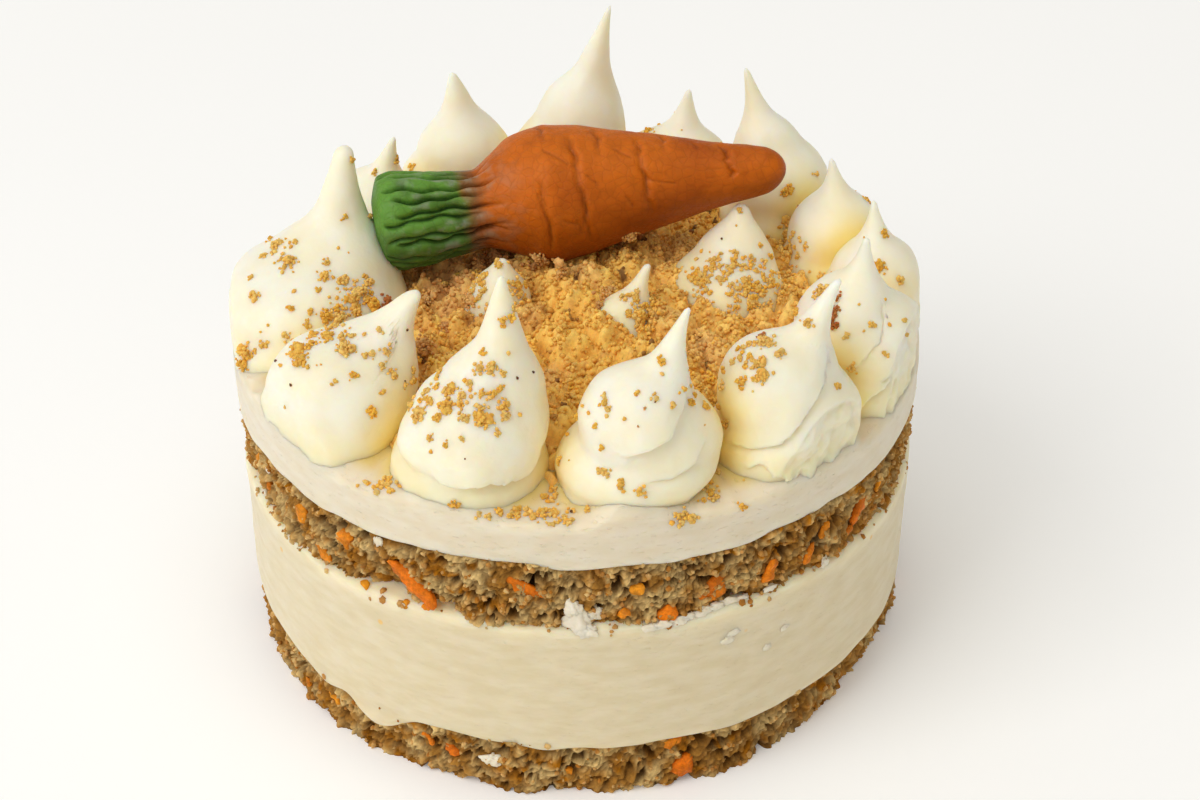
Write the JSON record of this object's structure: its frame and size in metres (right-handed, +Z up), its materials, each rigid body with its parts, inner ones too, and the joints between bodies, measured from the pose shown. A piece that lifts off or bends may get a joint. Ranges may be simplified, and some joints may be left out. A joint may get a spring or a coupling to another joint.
{
  "type": "carrot cake",
  "caption": "Small round layered carrot cake: two thin carrot sponges, deep cream filling, piped cream kisses round the rim, cookie crumbs and a marzipan carrot on top.",
  "frame": {"origin": "middle of the flat underside", "axes": "+Z up through the middle of the cake; the shown side faces -Y, and the marzipan carrot lies along +X"},
  "size_m": [0.08, 0.0799, 0.0646],
  "materials": {
    "carrot_sponge": "open crumb of baked carrot sponge, torn and matte",
    "cream_filling": "smooth set cream, soft satin",
    "top_cream": "smooth set cream, soft satin",
    "piped_cream": "piped cream with soft folds, satin",
    "marzipan": "orange marzipan with a green leaf end, fine wrinkles",
    "cookie_crumb": "dry golden cookie crumbs"
  },
  "bodies": {
    "root": {"base_sponge": "carrot_sponge", "upper_sponge": "carrot_sponge", "cream_filling": "cream_filling", "top_cream": "top_cream", "marzipan_carrot": "marzipan", "crumb_heap": "cookie_crumb", "kiss_01": "piped_cream", "kiss_02": "piped_cream", "kiss_03": "piped_cream", "kiss_04": "piped_cream", "kiss_05": "piped_cream", "kiss_06": "piped_cream", "kiss_07": "piped_cream", "kiss_08": "piped_cream", "kiss_09": "piped_cream", "kiss_10": "piped_cream", "kiss_11": "piped_cream", "kiss_12": "piped_cream", "kiss_13": "piped_cream", "kiss_14": "piped_cream", "kiss_15": "piped_cream", "kiss_16": "piped_cream"}
  },
  "joints": []
}
